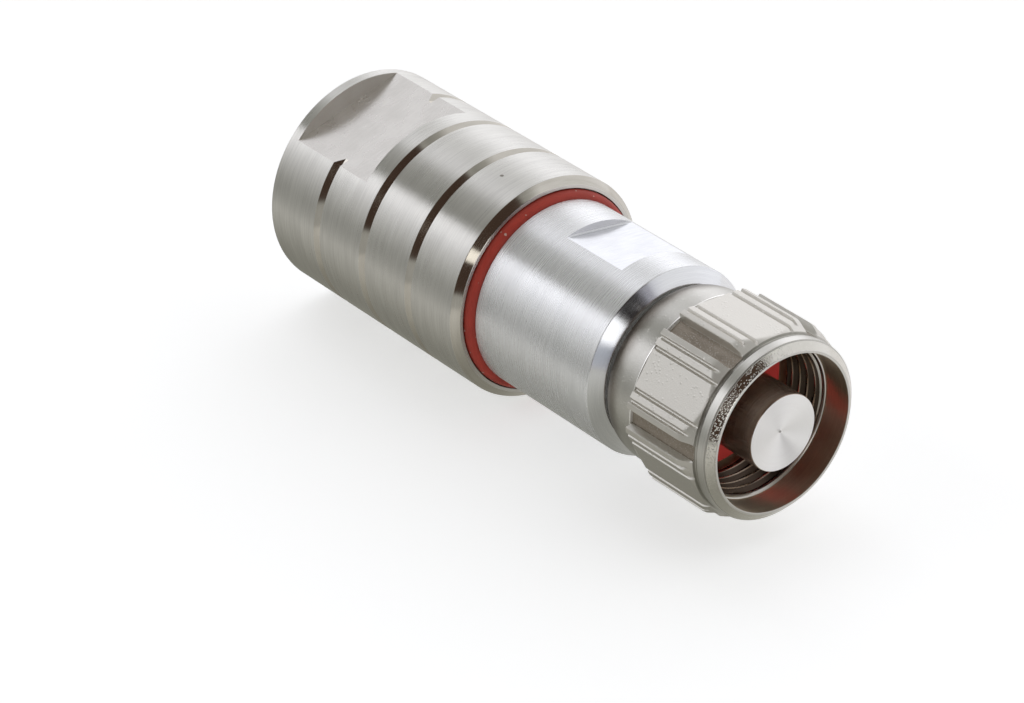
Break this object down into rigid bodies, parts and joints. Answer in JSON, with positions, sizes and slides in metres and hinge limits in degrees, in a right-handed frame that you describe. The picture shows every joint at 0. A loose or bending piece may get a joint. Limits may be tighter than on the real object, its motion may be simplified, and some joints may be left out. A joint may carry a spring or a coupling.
{
  "type": "coaxial cable connector",
  "caption": "Coaxial screw-coupled plug for corrugated cable: grooved clamping nut, red ring, round front body with flats, hex coupling nut over a solid contact.",
  "frame": {"origin": "centre of the flat rear face where the cable enters, which the plug stands on", "axes": "+Z along the plug's axis to the mating end; -Y faces one of the back nut's two flats; +X completes the right-handed frame"},
  "size_m": [0.0234, 0.0234, 0.0643],
  "materials": {
    "warm_plate": "satin warm nickel plate with fine turning marks",
    "cool_plate": "bright cool plate, brushed round the axis",
    "nut_plate": "nickel plate with a fine grain",
    "silver_plate": "silver plate",
    "bronze": "bare bronze",
    "spring_steel": "spring steel",
    "red_silicone": "matte brick red silicone",
    "black_rubber": "matte black rubber",
    "white_insulator": "white insulator plastic",
    "grey_plastic": "grey guide plastic"
  },
  "bodies": {
    "clamp_nut": {"back_nut": "warm_plate", "entry_seal": "black_rubber", "seal_washer": "warm_plate"},
    "collet": {"clamp_collet": "bronze", "collet_spring": "spring_steel"},
    "plug_body": {"front_body": "cool_plate", "body_seal_ring": "red_silicone", "clamp_cone": "bronze", "insulator_clip": "spring_steel", "rear_insulator": "white_insulator", "spacer_sleeve": "white_insulator", "front_insulator": "white_insulator", "centre_contact": "silver_plate", "contact_socket": "silver_plate", "socket_guide": "grey_plastic", "neck_washer": "white_insulator", "neck_seal_ring": "black_rubber", "snap_ring": "bronze", "face_gasket": "red_silicone"},
    "nut": {"coupling_nut": "nut_plate"}
  },
  "joints": [
    {"name": "back_nut_unscrew", "type": "hinge", "parent": "clamp_nut", "child": "collet", "pos_m": [0, 0, 0], "axis": [0, 0, 1], "range_deg": [0, 1800]},
    {"name": "front_body_draw", "type": "slide", "parent": "collet", "child": "plug_body", "axis": [0, 0, 1], "range_m": [0, 0.005]},
    {"name": "coupling_nut_spin", "type": "hinge", "parent": "plug_body", "child": "nut", "pos_m": [0, 0, 0.056], "axis": [0, 0, 1], "continuous": true}
  ],
  "couplings": [
    {"joint": "back_nut_unscrew", "follows": "front_body_draw", "rad_per_m": 6283.2}
  ]
}
